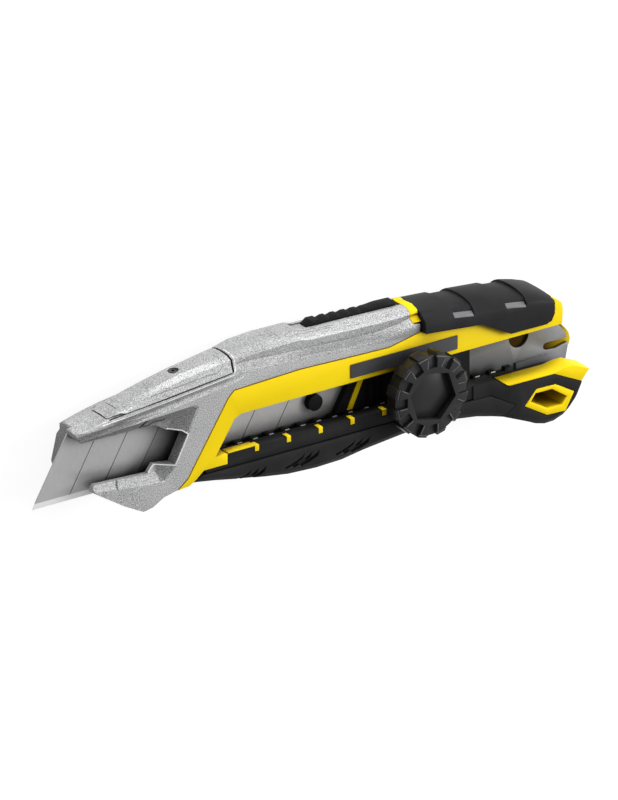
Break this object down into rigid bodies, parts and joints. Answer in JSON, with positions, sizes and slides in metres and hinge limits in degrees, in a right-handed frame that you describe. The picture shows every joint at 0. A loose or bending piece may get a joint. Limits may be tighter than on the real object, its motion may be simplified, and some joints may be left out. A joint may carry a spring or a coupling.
{
  "type": "utility knife",
  "caption": "Snap-off utility knife with a cast body, plastic grips, a wheel lock on the blade carriage, and a swinging snap lever worked by a sprung thumb slide; a lanyard hole in the tail.",
  "frame": {"origin": "middle of the knife's box in plan, at the level of the far side of the tail and grip, on which the knife lies", "axes": "+X from the nose to the tail, +Y from the cutting edge to the spine, +Z out of the side that carries the wheel"},
  "size_m": [0.1614, 0.0419, 0.0235],
  "materials": {
    "cast_silver": "speckled silver coat on a casting",
    "lever_silver": "speckled silver coat on a casting",
    "dark_steel": "blackened",
    "plain_steel": "plain",
    "black_plastic": "satin",
    "knob_plastic": "satin",
    "yellow_plastic": "gloss",
    "channel_steel": "dull grey",
    "blade_steel": "fine ground, bright at the edge",
    "brass_insert": "turned",
    "grip_rubber": "smooth matte",
    "grey_pad": "satin",
    "label_grey": "printed dark plate, left bare"
  },
  "bodies": {
    "case": {"die_cast_body": "cast_silver", "lever_pin": "dark_steel", "near_frame": "yellow_plastic", "far_frame": "yellow_plastic", "blade_channel": "channel_steel", "rack_strip": "black_plastic", "lower_rail": "grip_rubber", "rail_clips": "yellow_plastic", "upper_grip": "grip_rubber", "grip_inserts": "grey_pad", "lower_grip": "grip_rubber", "tail_strip": "yellow_plastic", "lanyard_liner": "yellow_plastic", "label_plate": "label_grey", "case_screws": "dark_steel", "slide_spring": "plain_steel"},
    "carriage": {"blade": "blade_steel", "carriage": "black_plastic", "blade_stud": "black_plastic", "carriage_insert": "yellow_plastic", "detent_spring": "plain_steel", "wheel_bolt": "plain_steel", "wheel_washer": "plain_steel"},
    "wheel": {"wheel_knob": "knob_plastic", "wheel_insert": "brass_insert", "wheel_cap": "knob_plastic"},
    "thumb": {"thumb_slide": "black_plastic", "snap_cam": "plain_steel"},
    "lever": {"snap_lever": "lever_silver"}
  },
  "joints": [
    {"name": "carriage_slide", "type": "slide", "parent": "case", "child": "carriage", "axis": [1, 0, 0], "range_m": [-0.048, 0.017]},
    {"name": "wheel_turn", "type": "hinge", "parent": "carriage", "child": "wheel", "pos_m": [0.02795, -0.0014, 0.0195], "axis": [0, 0, 1], "range_deg": [0, 270]},
    {"name": "snap_slide", "type": "slide", "parent": "case", "child": "thumb", "axis": [-0.9992, 0.0401, 0], "range_m": [0, 0.003], "stiffness_N_per_m": 300, "springref_m": -0.004, "deforming": ["slide_spring"]},
    {"name": "snap_lever_swing", "type": "hinge", "parent": "case", "child": "lever", "pos_m": [-0.0389, 0.0171, 0.0085], "axis": [0, 1, 0], "range_deg": [0, 4]}
  ],
  "couplings": [
    {"joint": "snap_lever_swing", "follows": "snap_slide", "rad_per_m": 23.2}
  ]
}
